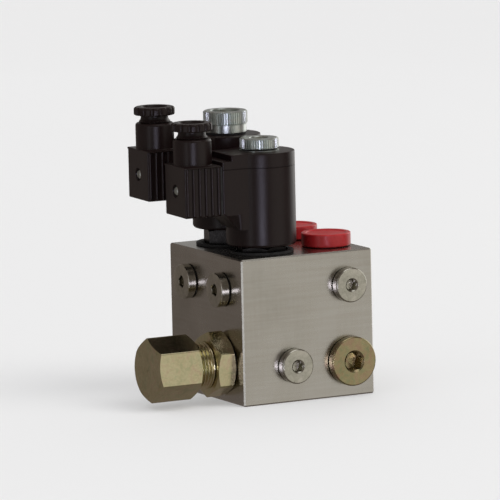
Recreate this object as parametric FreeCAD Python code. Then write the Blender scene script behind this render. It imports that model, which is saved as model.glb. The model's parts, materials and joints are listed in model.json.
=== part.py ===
import FreeCAD, Part
import math
import os
from FreeCAD import Placement, Rotation, Vector

# A two-station solenoid directional valve block.  Millimetres, +Z up.
# The origin is the centre of the block's bottom face.  -Y is the front face,
# which carries three gallery plugs.  -X is the left face, which carries two
# plugs and the capped supply fitting.  The two valves stand on the top face.
# Threads are plain cylinders at their major diameter, except where they show.

# ---- manifold block ----
BLOCK_X = 80.0
BLOCK_Y = 85.0
BLOCK_Z = 80.0
BLOCK_CHAMFER = 0.8
LEFT = -BLOCK_X / 2
FRONT = -BLOCK_Y / 2
BACK = BLOCK_Y / 2

# ---- where things sit on the block ----
VALVE_X = -15.6
VALVE_Y = 19.6
TOP_PORT_X = 24.5
TOP_PORT_Y = 19.2
UPPER_GALLERY_Z = 61.5
FRONT_UPPER_PLUG = (24.5, 61.5)
FRONT_LOWER_PLUG = (-9.5, 20.0)
SUPPLY_GALLERY = (25.3, 19.5)
FITTING_Y = -19.0
FITTING_Z = 21.1
MOUNT_HOLE_CENTRE_X = -12.0
MOUNT_HOLE_SPACING_X = 40.0
MOUNT_HOLE_SPACING_Y = 68.0
MOUNT_HOLE_R = 4.0
MOUNT_HOLE_DEPTH = 13.0

# ---- G1/4 and G1/2 ports and drillings ----
SMALL_PORT_R = 6.6
SMALL_PORT_DEPTH = 11.0
LARGE_PORT_R = 10.5
LARGE_PORT_DEPTH = 15.0
GALLERY_R = 4.0
SUPPLY_R = 7.0
PRESSURE_R = 5.0
CONSUMER_R = 6.5
THREAD_PLAY = 0.1

# ---- gallery plugs: radius, thickness, socket width across flats ----
SMALL_HEAD_R = 9.5
SMALL_HEAD_T = 5.4
SMALL_SOCKET = 6.0
LARGE_HEAD_R = 13.5
LARGE_HEAD_T = 5.1
LARGE_SOCKET = 10.0
PLUG_SEAL_T = 0.6
PLUG_CHAMFER = 0.8

# ---- supply fitting and its cap nut, distances out from the left face ----
FITTING_SEAL_T = 0.5
FITTING_HEX_END = 11.3
FITTING_HEX_AF = 32.0
FITTING_HEX_TURN = -5.5
FITTING_THREAD_R = 13.0
FITTING_THREAD_PITCH = 2.0
FITTING_THREAD_DEPTH = 0.9
FITTING_BORE_R = 6.0
FITTING_END = 36.0
CAP_NUT_START = 20.5
CAP_NUT_END = 46.4
CAP_NUT_AF = 31.0
CAP_NUT_TURN = 6.7
CAP_NUT_END_WALL = 5.0

# ---- red port caps, the head stands a little above the face ----
CAP_R = 13.5
CAP_H = 7.2
CAP_LIFT = 0.4
CAP_STEM_R = 10.3
CAP_STEM_L = 9.0
CAP_WALL = 1.6

# ---- cartridge, heights above the block's top face ----
HEX_AF = 24.0
BASE_RING_R = 17.5
BASE_RING_BORE = 14.3
BASE_RING_H = 1.6
CAVITY_THREAD_R = 11.0
CAVITY_THREAD_L = 14.0
NOSE_R = 8.5
NOSE_END = -42.0
NOSE_PLAY = 0.1
SPOOL_BORE = 5.0
SPOOL_PLAY = 0.04
SPOOL_TOP = -3.0
SPOOL_BOTTOM = -32.0
SPRING_SEAT_TOP = -39.5
STROKE = 3.0
ORING_HEIGHTS = (-16.5, -30.0)
ORING_WIRE = 0.9

# ---- armature tube and what slides in it ----
TUBE_R = 6.95
TUBE_BORE = 6.2
TUBE_PLAY = 0.02
TUBE_START = -1.9
TUBE_END_WALL = 4.0
ARMATURE_L = 30.0
ARMATURE_PLAY = 0.05
PIN_R = 1.5
PIN_PLAY = 0.05
OVERRIDE_R = 2.0
OVERRIDE_COLLAR_R = 4.0
OVERRIDE_COLLAR_H = 2.4

# ---- coil, heights above the coil's own bottom ----
COIL_R = 19.1
COIL_H = 51.3
COIL_BORE = 7.03
COIL_SEAM_DROP = 7.7
COIL_SEAM = 0.25
COIL_FOOT_ROUND = 1.8
BOX_HALF = 13.9
BOX_BOTTOM = 19.2
BOX_WALL_X = -22.8
LEDGE_DROP = 3.3
TERMINAL_X = -28.1
WINDING_BOTTOM = 6.0
WINDING_TOP = 44.7
WINDING_R = 15.5
BOBBIN_R = 16.5
BOBBIN_TUBE_R = 9.3
BOBBIN_FLANGE = 1.8

# ---- plug connector, heights above the coil's bottom ----
CONN_REAR_X = -29.1
CONN_FACE_X = -50.1
CONN_BOTTOM = 18.7
CONN_TOP = 46.2
CONN_HALF = 14.3
CONN_WALL = 2.5
RIB_COUNT = 6
RIB_PITCH = 3.64
RIB_WIDTH = 1.3
RIB_RISE = 1.0
RIB_FIRST = 1.5
COLLAR_R = 10.5
COLLAR_H = 14.3
COLLAR_ROUND = 1.6
GLAND_THREAD_R = 7.58
GLAND_SHELF = 1.5
CABLE_R = 5.0
BLADE_W = 6.3
BLADE_T = 0.8
BLADE_OFFSET = 9.0
BLADE_TIP_X = -39.0
BLADE_ROOT_X = -26.0
SCREW_R = 1.5
SCREW_REACH = 2.0
SCREW_HEAD_R = 2.3
SCREW_RECESS_R = 3.3

# ---- gland nut ----
GLAND_NECK_R = 7.5
GLAND_FLANGE_R = 11.2
GLAND_FLANGE_H = 4.6
GLAND_FLARE_R = 8.6
GLAND_NECK = 4.0
GLAND_FLUTES = 15
GLAND_MOUTH_R = 7.0

# ---- the two stations: place, height of the coil, coil turn, extra reach of the plug, nut form ----
STATIONS = {
    "front": {"y": -VALVE_Y, "lift": 4.4, "turn": -3.5, "reach": 0.0, "nut": "plain"},
    "rear": {"y": VALVE_Y, "lift": 9.7, "turn": -3.2, "reach": 2.6, "nut": "stepped"},
}

# ---- coil nuts, heights above the coil's top ----
NUTS = {
    "plain": {"washer": 0.5, "bottom": 1.2, "skirt": 1.2, "top": 6.9, "r": 10.6,
              "skirt_r": 10.0, "mouth": 5.0, "tube_end": 5.6, "knurls": 48},
    "stepped": {"washer": 0.0, "bottom": 0.95, "skirt": 5.6, "top": 12.8, "r": 12.15,
                "skirt_r": 11.5, "mouth": 7.75, "tube_end": 9.8, "knurls": 56},
}
NUT_THREAD_R = 7.03
NUT_LIP = 1.2
KNURL_DEPTH = 0.45
NUT_CHAMFER = 0.7


# ------------------------------------------------------------------ helpers
def block_of(x0, x1, y0, y1, z0, z1):
    """Box between two corners."""
    return Part.makeBox(x1 - x0, y1 - y0, z1 - z0, Vector(x0, y0, z0))


def rod(radius, z0, z1, x=0.0, y=0.0):
    """Upright cylinder."""
    return Part.makeCylinder(radius, z1 - z0, Vector(x, y, z0))


def turned(outline):
    """Solid of revolution about Z from a closed outline of (radius, height)."""
    points = [Vector(r, 0, z) for r, z in outline]
    face = Part.Face(Part.makePolygon(points + points[:1]))
    return face.revolve(Vector(0, 0, 0), Vector(0, 0, 1), 360)


def ring(outer, inner, z0, z1):
    """Plain ring with square edges."""
    return turned([(inner, z0), (outer, z0), (outer, z1), (inner, z1)])


def prism(points, z0, z1):
    """Upright prism on a closed outline of (x, y)."""
    corners = [Vector(x, y, z0) for x, y in points]
    return Part.Face(Part.makePolygon(corners + corners[:1])).extrude(Vector(0, 0, z1 - z0))


def hexagon(across_flats, z0, z1, turn=0.0):
    """Hexagonal prism, one corner on the local X axis before it is turned."""
    radius = across_flats / math.sqrt(3)
    angles = [math.radians(60 * i + turn) for i in range(6)]
    return prism([(radius * math.cos(a), radius * math.sin(a)) for a in angles], z0, z1)


def chamfered_hexagon(across_flats, z0, z1, turn, low=True, high=True):
    """Hexagonal prism with the 30 degree corner chamfer of a turned nut."""
    corner = across_flats / math.sqrt(3)
    flat = across_flats / 2 - 0.4
    drop = (corner + 0.2 - flat) * math.tan(math.radians(30))
    bottom = [(0, z0), (flat, z0), (corner + 0.2, z0 + drop)]
    top = [(corner + 0.2, z1 - drop), (flat, z1), (0, z1)]
    if not low:
        bottom = [(0, z0), (corner + 0.2, z0)]
    if not high:
        top = [(corner + 0.2, z1), (0, z1)]
    return hexagon(across_flats, z0, z1, turn).common(turned(bottom + top))


def placed(shape, origin, rotation):
    """Copy of a shape, turned and then moved to origin."""
    moved = shape.copy()
    moved.Placement = Placement(Vector(*origin), rotation).multiply(moved.Placement)
    return moved


def facing(shape, origin, normal):
    """Move a shape built along +Z so that its Z axis leaves origin along normal."""
    return placed(shape, origin, Rotation(Vector(0, 0, 1), Vector(*normal)))


def at_station(shape, station, turn=0.0):
    """Move a shape from valve coordinates to its station on the block."""
    return placed(shape, (VALVE_X, station["y"], BLOCK_Z), Rotation(Vector(0, 0, 1), turn))


def raised(shape, height):
    """Lift a shape along Z."""
    return shape.translated(Vector(0, 0, height))


def ring_edges(shape, radius, z):
    """Full circular edges of one radius at one height."""
    found = []
    for edge in shape.Edges:
        curve = edge.Curve
        if isinstance(curve, Part.Circle) and abs(curve.Radius - radius) < 0.01:
            if abs(curve.Center.z - z) < 0.01:
                found.append(edge)
    return found


def save(name, shape):
    """Write one node to its STEP file."""
    solids = shape.Solids
    assert solids, name
    for solid in solids:
        assert solid.isValid() and solid.Volume > 0, name
    out = solids[0] if len(solids) == 1 else Part.makeCompound(solids)
    out.exportStep("parts/" + name + ".step")
    box = out.BoundBox
    print("%-26s %2d solid %9.1f mm3  z %.1f..%.1f" % (name, len(solids), out.Volume, box.ZMin, box.ZMax))


# ------------------------------------------------------------------ block
def drilling(origin, direction, radius, length):
    """One straight drilled hole that starts on a face of the block."""
    return facing(rod(radius, -1.0, length), origin, direction)


def valve_cavities():
    """Stepped cartridge cavities with the drilling that feeds each nose."""
    holes = []
    for station in STATIONS.values():
        top = BLOCK_Z
        x, y = VALVE_X, station["y"]
        holes.append(rod(CAVITY_THREAD_R + THREAD_PLAY, top - CAVITY_THREAD_L, top + 1, x, y))
        holes.append(rod(NOSE_R + NOSE_PLAY, top + NOSE_END - 0.5, top, x, y))
        holes.append(rod(PRESSURE_R, FITTING_Z, top + NOSE_END, x, y))
    return holes


def top_ports():
    """Two consumer ports in the top face, each down to its upper gallery."""
    holes = []
    for y in (-TOP_PORT_Y, TOP_PORT_Y):
        origin = (TOP_PORT_X, y, BLOCK_Z)
        holes.append(drilling(origin, (0, 0, -1), LARGE_PORT_R, LARGE_PORT_DEPTH))
        holes.append(drilling(origin, (0, 0, -1), CONSUMER_R, BLOCK_Z - UPPER_GALLERY_Z + GALLERY_R))
    return holes


def side_holes():
    """Galleries drilled from the left, front and back faces."""
    holes = []
    for y in (-VALVE_Y, VALVE_Y):
        origin = (LEFT, y, UPPER_GALLERY_Z)
        holes.append(drilling(origin, (1, 0, 0), SMALL_PORT_R, SMALL_PORT_DEPTH))
        holes.append(drilling(origin, (1, 0, 0), GALLERY_R, TOP_PORT_X - LEFT))
    for (x, z), depth in ((FRONT_UPPER_PLUG, -TOP_PORT_Y - FRONT), (FRONT_LOWER_PLUG, VALVE_Y - FRONT)):
        origin = (x, FRONT, z)
        holes.append(drilling(origin, (0, 1, 0), SMALL_PORT_R, SMALL_PORT_DEPTH))
        holes.append(drilling(origin, (0, 1, 0), GALLERY_R, depth))
    x, z = SUPPLY_GALLERY
    holes.append(drilling((x, FRONT, z), (0, 1, 0), LARGE_PORT_R, LARGE_PORT_DEPTH))
    holes.append(drilling((x, FRONT, z), (0, 1, 0), SUPPLY_R, BLOCK_Y))
    holes.append(drilling((x, BACK, z), (0, -1, 0), LARGE_PORT_R, LARGE_PORT_DEPTH))
    fitting = (LEFT, FITTING_Y, FITTING_Z)
    holes.append(drilling(fitting, (1, 0, 0), LARGE_PORT_R, LARGE_PORT_DEPTH))
    holes.append(drilling(fitting, (1, 0, 0), PRESSURE_R, SUPPLY_GALLERY[0] - LEFT))
    return holes


def mounting_holes():
    """Four tapped holes in the bottom face."""
    holes = []
    for dx in (-MOUNT_HOLE_SPACING_X / 2, MOUNT_HOLE_SPACING_X / 2):
        for y in (-MOUNT_HOLE_SPACING_Y / 2, MOUNT_HOLE_SPACING_Y / 2):
            origin = (MOUNT_HOLE_CENTRE_X + dx, y, 0)
            holes.append(drilling(origin, (0, 0, 1), MOUNT_HOLE_R, MOUNT_HOLE_DEPTH))
    return holes


def manifold_block():
    """The chamfered block with all its drillings."""
    solid = block_of(LEFT, -LEFT, FRONT, BACK, 0, BLOCK_Z)
    solid = solid.makeChamfer(BLOCK_CHAMFER, solid.Edges)
    for hole in valve_cavities() + top_ports() + side_holes() + mounting_holes():
        solid = solid.cut(hole)
    return solid


# ------------------------------------------------------------------ plugs
def gallery_plug(head_r, head_t, thread_r, thread_l, socket):
    """Internal-hex plug, head outwards along +Z, its face on the block at zero."""
    c = PLUG_CHAMFER
    body = turned([(0, -thread_l), (thread_r - 1, -thread_l), (thread_r, 1 - thread_l),
                   (thread_r, PLUG_SEAL_T), (head_r, PLUG_SEAL_T), (head_r, head_t - c),
                   (head_r - c, head_t), (0, head_t)])
    key = hexagon(socket, head_t - socket * 0.75, head_t + 1)
    corner = socket / math.sqrt(3)
    lead = turned([(0, head_t - 0.75), (corner - 0.05, head_t - 0.75), (corner + 0.7, head_t), (0, head_t)])
    return body.cut(key).cut(lead)


def plug_places():
    """Origins and outward directions of the four small plugs."""
    places = [((x, FRONT, z), (0, -1, 0)) for x, z in (FRONT_UPPER_PLUG, FRONT_LOWER_PLUG)]
    places += [((LEFT, y, UPPER_GALLERY_Z), (-1, 0, 0)) for y in (-VALVE_Y, VALVE_Y)]
    return places


def make_plugs():
    """All gallery plugs and their flat seals."""
    small = gallery_plug(SMALL_HEAD_R, SMALL_HEAD_T, SMALL_PORT_R - THREAD_PLAY,
                         SMALL_PORT_DEPTH - 1, SMALL_SOCKET)
    small_seal = ring(SMALL_HEAD_R - 0.8, SMALL_PORT_R, 0, PLUG_SEAL_T)
    save("small_gallery_plugs", Part.makeCompound([facing(small, o, n) for o, n in plug_places()]))
    save("small_plug_seals", Part.makeCompound([facing(small_seal, o, n) for o, n in plug_places()]))
    origin = (SUPPLY_GALLERY[0], FRONT, SUPPLY_GALLERY[1])
    large = gallery_plug(LARGE_HEAD_R, LARGE_HEAD_T, LARGE_PORT_R - THREAD_PLAY,
                         LARGE_PORT_DEPTH - 1, LARGE_SOCKET)
    save("large_gallery_plug", facing(large, origin, (0, -1, 0)))
    seal = ring(LARGE_HEAD_R - 0.9, LARGE_PORT_R, 0, PLUG_SEAL_T)
    save("large_plug_seal", facing(seal, origin, (0, -1, 0)))


# ------------------------------------------------------------------ fitting
def thread_outline(radius, z0, z1, pitch, depth):
    """Saw-tooth edge of a visible thread, as (radius, height) points."""
    points = []
    turns = int((z1 - z0) / pitch)
    for i in range(turns):
        z = z0 + i * pitch
        points += [(radius, z + 0.1 * pitch), (radius - depth, z + 0.5 * pitch), (radius, z + 0.9 * pitch)]
    return points


def port_fitting():
    """Straight fitting: block thread, hexagon, outer thread and 24 degree cone mouth."""
    tail = turned([(0, 1 - LARGE_PORT_DEPTH), (LARGE_PORT_R - 1.1, 1 - LARGE_PORT_DEPTH),
                   (LARGE_PORT_R - THREAD_PLAY, 2 - LARGE_PORT_DEPTH),
                   (LARGE_PORT_R - THREAD_PLAY, FITTING_SEAL_T), (0, FITTING_SEAL_T)])
    nut = chamfered_hexagon(FITTING_HEX_AF, FITTING_SEAL_T, FITTING_HEX_END, FITTING_HEX_TURN)
    thread = thread_outline(FITTING_THREAD_R, FITTING_HEX_END, FITTING_END - 2,
                            FITTING_THREAD_PITCH, FITTING_THREAD_DEPTH)
    nose = turned([(0, FITTING_HEX_END - 1), (FITTING_THREAD_R - FITTING_THREAD_DEPTH, FITTING_HEX_END - 1)]
                  + thread + [(FITTING_THREAD_R - 1.2, FITTING_END), (0, FITTING_END)])
    bore = turned([(0, -LARGE_PORT_DEPTH), (FITTING_BORE_R, -LARGE_PORT_DEPTH),
                   (FITTING_BORE_R, FITTING_END - 12), (FITTING_BORE_R + 3, FITTING_END + 1),
                   (0, FITTING_END + 1)])
    return tail.fuse([nut, nose]).cut(bore).removeSplitter()


def cap_nut():
    """Closed hexagonal cap nut that covers the fitting's outer thread."""
    nut = chamfered_hexagon(CAP_NUT_AF, CAP_NUT_START, CAP_NUT_END, CAP_NUT_TURN)
    bore_r = FITTING_THREAD_R + 0.08
    bore = turned([(0, CAP_NUT_START - 1), (bore_r + 1.0, CAP_NUT_START - 1), (bore_r + 1.0, CAP_NUT_START),
                   (bore_r, CAP_NUT_START + 1), (bore_r, CAP_NUT_END - CAP_NUT_END_WALL),
                   (0, CAP_NUT_END - CAP_NUT_END_WALL)])
    centre = turned([(0, CAP_NUT_END - 0.7), (3.2, CAP_NUT_END - 0.7), (4.8, CAP_NUT_END), (0, CAP_NUT_END)])
    return nut.cut(bore).cut(centre)


def make_fitting():
    """Supply fitting, its seal ring and its cap nut."""
    origin = (LEFT, FITTING_Y, FITTING_Z)
    left = (-1, 0, 0)
    save("port_fitting", facing(port_fitting(), origin, left))
    seal = ring(FITTING_HEX_AF / 2 - 1.2, LARGE_PORT_R, 0, FITTING_SEAL_T)
    save("port_fitting_seal", facing(seal, origin, left))
    save("fitting_cap_nut", facing(cap_nut(), origin, left))


# ------------------------------------------------------------------ port caps
def port_cap():
    """Push-in protective cap: a rimmed head on a hollow stem."""
    head = turned([(0, 0), (CAP_R, 0), (CAP_R, CAP_H - 1.0), (CAP_R - 1.0, CAP_H), (CAP_R - 2.6, CAP_H),
                   (CAP_R - 3.2, CAP_H - 1.8), (0, CAP_H - 1.8)])
    stem = turned([(0, 0.5), (CAP_STEM_R, 0.5), (CAP_STEM_R, 1.5 - CAP_STEM_L),
                   (CAP_STEM_R - 1.0, -CAP_STEM_L), (0, -CAP_STEM_L)])
    hollow = rod(CAP_STEM_R - CAP_WALL, -CAP_STEM_L - 1, CAP_H - 4.0)
    return head.fuse(stem).cut(hollow).removeSplitter()


def make_port_caps():
    """One cap in each top port."""
    for name, y in (("front_port_cap", -TOP_PORT_Y), ("rear_port_cap", TOP_PORT_Y)):
        save(name, port_cap().translated(Vector(TOP_PORT_X, y, BLOCK_Z + CAP_LIFT)))


# ------------------------------------------------------------------ hydraulic half of a valve
def cartridge_body(lift):
    """Screw-in cartridge: hexagon above the block, thread, ported nose, spool bore."""
    top = lift - 0.4
    head = chamfered_hexagon(HEX_AF, 0, top, 15, low=False)
    groove_r = NOSE_R - 2 * ORING_WIRE + 0.05
    outline = [(0, 0.5), (0, NOSE_END), (NOSE_R - 0.8, NOSE_END), (NOSE_R, NOSE_END + 0.8)]
    for z in sorted(ORING_HEIGHTS):
        outline += [(NOSE_R, z - 1.1), (groove_r, z - 1.1), (groove_r, z + 1.1), (NOSE_R, z + 1.1)]
    outline += [(NOSE_R, -CAVITY_THREAD_L), (CAVITY_THREAD_R - 1, -CAVITY_THREAD_L),
                (CAVITY_THREAD_R, 1 - CAVITY_THREAD_L), (CAVITY_THREAD_R, 0.5)]
    body = head.fuse(turned(outline))
    body = body.cut(rod(SPOOL_BORE, NOSE_END - 1, TUBE_START + 0.1))
    body = body.cut(rod(TUBE_R + TUBE_PLAY, TUBE_START, top + 1))
    port_z = UPPER_GALLERY_Z - BLOCK_Z
    for angle in (0, 90):
        across = Part.makeCylinder(2.0, 2 * NOSE_R + 2, Vector(-NOSE_R - 1, 0, port_z), Vector(1, 0, 0))
        body = body.cut(across.rotated(Vector(0, 0, 0), Vector(0, 0, 1), angle))
    return body.removeSplitter()


def cartridge_orings():
    """Nose O-rings, one solid per groove."""
    mean_r = NOSE_R - ORING_WIRE + 0.08
    wire_r = ORING_WIRE - 0.05
    return Part.makeCompound([Part.makeTorus(mean_r, wire_r, Vector(0, 0, z)) for z in ORING_HEIGHTS])


def spool():
    """Two-land spool that slides in the cartridge's bore."""
    land = SPOOL_BORE - SPOOL_PLAY
    waist = 3.0
    port_z = UPPER_GALLERY_Z - BLOCK_Z
    return turned([(0, SPOOL_BOTTOM), (land - 0.5, SPOOL_BOTTOM), (land, SPOOL_BOTTOM + 0.5),
                   (land, port_z - 4), (waist, port_z - 2.5), (waist, port_z + 4), (land, port_z + 5.5),
                   (land, SPOOL_TOP - 0.5), (land - 0.5, SPOOL_TOP), (0, SPOOL_TOP)])


def spring_seat():
    """Threaded ring in the nose that carries the return spring."""
    return ring(SPOOL_BORE - 0.02, 2.4, NOSE_END, SPRING_SEAT_TOP)


def return_spring():
    """Compression spring of square wire between the seat and the spool."""
    half = 0.4
    mean_r = 3.4
    turns = 5
    z0 = SPRING_SEAT_TOP + half + 0.05
    height = SPOOL_BOTTOM - SPRING_SEAT_TOP - 2 * half - 0.1
    helix = Part.Wire(Part.makeHelix(height / turns, height, mean_r))
    square = ((-half, -half), (half, -half), (half, half), (-half, half))
    corners = [Vector(mean_r + dx, 0, dz) for dx, dz in square]
    section = Part.makePolygon(corners + corners[:1])
    return raised(helix.makePipeShell([section], True, True), z0)


def tube_end(station):
    """Height of the armature tube's outer end."""
    return station["lift"] + COIL_H + NUTS[station["nut"]]["tube_end"]


def armature_top(station):
    """Height of the armature's upper end at rest."""
    return tube_end(station) - TUBE_END_WALL - OVERRIDE_COLLAR_H - 0.2


def armature_tube(station):
    """Pressure-tight tube, closed at its outer end except for the override pin."""
    end = tube_end(station)
    return turned([(TUBE_BORE, TUBE_START), (TUBE_R, TUBE_START), (TUBE_R, end - 0.6), (TUBE_R - 0.6, end),
                   (OVERRIDE_R + 1.0, end), (OVERRIDE_R + PIN_PLAY, end - 0.8),
                   (OVERRIDE_R + PIN_PLAY, end - TUBE_END_WALL), (TUBE_BORE, end - TUBE_END_WALL)])


def armature(station):
    """Sliding armature with two vent flats."""
    top = armature_top(station)
    r = TUBE_BORE - ARMATURE_PLAY
    body = turned([(0, top - ARMATURE_L), (r - 0.5, top - ARMATURE_L), (r, top - ARMATURE_L + 0.5),
                   (r, top - 0.5), (r - 0.5, top), (0, top)])
    for side in (-1, 1):
        vent = block_of(-0.6, 0.6, side * r - 0.7, side * r + 0.7, top - ARMATURE_L - 1, top + 1)
        body = body.cut(vent)
    return body


def pole_piece(station):
    """Fixed core at the foot of the tube, bored for the push pin."""
    top = armature_top(station) - ARMATURE_L - STROKE - 0.2
    return ring(TUBE_BORE - 0.02, PIN_R + PIN_PLAY, TUBE_START, top)


def override_pin(station):
    """Manual override pin, held by its collar under the tube's end wall."""
    end = tube_end(station)
    top = end + 0.4
    collar = end - TUBE_END_WALL - 0.1
    foot = collar - OVERRIDE_COLLAR_H
    return turned([(0, foot), (OVERRIDE_COLLAR_R, foot), (OVERRIDE_COLLAR_R, collar), (OVERRIDE_R, collar),
                   (OVERRIDE_R, top - 0.4), (OVERRIDE_R - 0.4, top), (0, top)])


def base_ring():
    """Black sealing ring that closes the joint between coil and block."""
    body = ring(BASE_RING_R, BASE_RING_BORE, 0, BASE_RING_H)
    return body.makeFillet(0.8, ring_edges(body, BASE_RING_R, BASE_RING_H))


# ------------------------------------------------------------------ coil
def terminal_blades(play=0.0, tip=BLADE_TIP_X, root=BLADE_ROOT_X):
    """Three flat blades: two upright ones and the crosswise earth blade."""
    half_w = BLADE_W / 2 + play
    half_t = BLADE_T / 2 + play
    mid = (CONN_BOTTOM + CONN_TOP) / 2
    blades = []
    for y in (-BLADE_OFFSET, BLADE_OFFSET):
        blades.append(block_of(tip, root, y - half_t, y + half_t, mid - half_w, mid + half_w))
    z = mid - BLADE_OFFSET
    blades.append(block_of(tip, root, -half_w, half_w, z - half_t, z + half_t))
    return blades


def screw_hole(radius, x0, x1):
    """Hole on the connector's centre line."""
    mid = (CONN_BOTTOM + CONN_TOP) / 2
    return Part.makeCylinder(radius, x1 - x0, Vector(x0, 0, mid), Vector(1, 0, 0))


def coil_outer(reach):
    """Moulded coil: a cylinder with a terminal box on its -X side."""
    terminal_x = TERMINAL_X - reach
    seam_z = COIL_H - COIL_SEAM_DROP
    barrel = turned([(0, 0), (COIL_R, 0), (COIL_R, seam_z - COIL_SEAM), (COIL_R - COIL_SEAM, seam_z),
                     (COIL_R, seam_z + COIL_SEAM), (COIL_R, COIL_H - 0.6), (COIL_R - 0.6, COIL_H),
                     (0, COIL_H)])
    barrel = barrel.makeFillet(COIL_FOOT_ROUND, ring_edges(barrel, COIL_R, 0))
    side = [(0, BOX_BOTTOM - 9), (BOX_WALL_X + 5, BOX_BOTTOM - 9), (terminal_x + 1.5, BOX_BOTTOM - 0.5),
            (terminal_x, BOX_BOTTOM + 1), (terminal_x, COIL_H - LEDGE_DROP - 0.6),
            (terminal_x + 0.6, COIL_H - LEDGE_DROP), (BOX_WALL_X, COIL_H - LEDGE_DROP),
            (BOX_WALL_X, COIL_H - 0.6), (BOX_WALL_X + 0.6, COIL_H), (0, COIL_H)]
    corners = [Vector(x, -BOX_HALF, z) for x, z in side]
    terminal_box = Part.Face(Part.makePolygon(corners + corners[:1])).extrude(Vector(0, 2 * BOX_HALF, 0))
    return barrel.fuse(terminal_box).removeSplitter()


def coil_housing(reach):
    """Coil moulding with its bore, winding chamber and terminal pockets."""
    body = coil_outer(reach).cut(rod(COIL_BORE, -1, COIL_H + 1))
    body = body.cut(ring(BOBBIN_R + 0.1, COIL_BORE + 1.2, WINDING_BOTTOM - 0.1, WINDING_TOP + 0.1))
    outward = Vector(-reach, 0, 0)
    for blade in terminal_blades():
        body = body.cut(blade.translated(outward))
    hole = screw_hole(SCREW_R + 0.02, TERMINAL_X - 1, TERMINAL_X + SCREW_REACH + 1)
    return body.cut(hole.translated(outward))


def coil_bobbin():
    """Plastic bobbin: a tube between two flanges."""
    inner = COIL_BORE + 1.3
    low = WINDING_BOTTOM + BOBBIN_FLANGE
    high = WINDING_TOP - BOBBIN_FLANGE
    return turned([(inner, WINDING_BOTTOM), (BOBBIN_R, WINDING_BOTTOM), (BOBBIN_R, low), (BOBBIN_TUBE_R, low),
                   (BOBBIN_TUBE_R, high), (BOBBIN_R, high), (BOBBIN_R, WINDING_TOP), (inner, WINDING_TOP)])


def coil_winding():
    """Copper winding pack between the bobbin's flanges."""
    return ring(WINDING_R, BOBBIN_TUBE_R + 0.05, WINDING_BOTTOM + BOBBIN_FLANGE + 0.05,
                WINDING_TOP - BOBBIN_FLANGE - 0.05)


# ------------------------------------------------------------------ connector
def connector_gasket():
    """Flat rubber gasket with openings for blades and screw."""
    half = CONN_HALF - 0.9
    body = block_of(CONN_REAR_X, TERMINAL_X, -half, half, CONN_BOTTOM + 0.8, CONN_TOP - 0.8)
    for blade in terminal_blades(play=0.3):
        body = body.cut(blade)
    return body.cut(screw_hole(SCREW_R + 0.3, CONN_REAR_X - 1, TERMINAL_X + 1))


def connector_ribs():
    """Upright ribs on both sides of the connector."""
    ribs = []
    for i in range(RIB_COUNT):
        x = CONN_FACE_X + RIB_FIRST + i * RIB_PITCH
        for side in (-1, 1):
            y0, y1 = sorted((side * (CONN_HALF - RIB_RISE - 0.5), side * CONN_HALF))
            x0, x1 = x - RIB_WIDTH / 2, x + RIB_WIDTH / 2
            ribs.append(block_of(x0, x1, y0, y1, CONN_BOTTOM + 0.3, CONN_TOP - 0.4))
    return ribs


def connector_shell():
    """Connector's outer form: ribbed box with a round collar on top."""
    half = CONN_HALF - RIB_RISE
    body = block_of(CONN_FACE_X, CONN_REAR_X, -half, half, CONN_BOTTOM, CONN_TOP - 0.8)
    outer = [e for e in body.Edges if e.BoundBox.XMax < CONN_FACE_X + 0.1]
    body = body.makeFillet(0.8, outer)
    plate = block_of(CONN_FACE_X, CONN_REAR_X, -CONN_HALF, CONN_HALF, CONN_TOP - 0.8, CONN_TOP)
    plate = plate.makeFillet(0.7, [e for e in plate.Edges if e.BoundBox.ZLength > 0.5])
    centre = (CONN_FACE_X + CONN_REAR_X) / 2
    collar = rod(COLLAR_R, CONN_TOP - 1, CONN_TOP + COLLAR_H, centre)
    collar = collar.makeFillet(COLLAR_ROUND, ring_edges(collar, COLLAR_R, CONN_TOP + COLLAR_H))
    return body.fuse([plate, collar] + connector_ribs())


def connector_housing():
    """Hollow connector housing, open towards the coil and up through its gland."""
    centre = (CONN_FACE_X + CONN_REAR_X) / 2
    half = CONN_HALF - RIB_RISE - CONN_WALL + 0.6
    cavity = block_of(CONN_FACE_X + CONN_WALL, CONN_REAR_X + 1, -half, half,
                      CONN_BOTTOM + CONN_WALL, CONN_TOP - CONN_WALL)
    gland = rod(GLAND_THREAD_R, CONN_TOP + GLAND_SHELF, CONN_TOP + COLLAR_H + 1, centre)
    throat = rod(CABLE_R + 0.5, CONN_TOP - CONN_WALL - 1, CONN_TOP + GLAND_SHELF + 1, centre)
    recess = screw_hole(SCREW_RECESS_R, CONN_FACE_X - 1, CONN_FACE_X + 1.6)
    hole = screw_hole(SCREW_R + 0.15, CONN_FACE_X - 1, CONN_FACE_X + CONN_WALL + 1)
    body = connector_shell()
    for tool in (cavity, gland, throat, recess, hole):
        body = body.cut(tool)
    return body.removeSplitter()


def connector_insert():
    """Terminal block inside the connector, slotted for the three blades."""
    half = CONN_HALF - RIB_RISE - CONN_WALL + 0.4
    body = block_of(CONN_FACE_X + CONN_WALL + 3.5, CONN_REAR_X - 0.1, -half, half,
                    CONN_BOTTOM + CONN_WALL + 0.2, CONN_TOP - CONN_WALL - 0.2)
    for blade in terminal_blades(play=0.15, tip=BLADE_TIP_X - 0.5, root=CONN_REAR_X + 1):
        body = body.cut(blade)
    return body.cut(screw_hole(SCREW_R + 0.15, CONN_FACE_X, CONN_REAR_X + 1))


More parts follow.
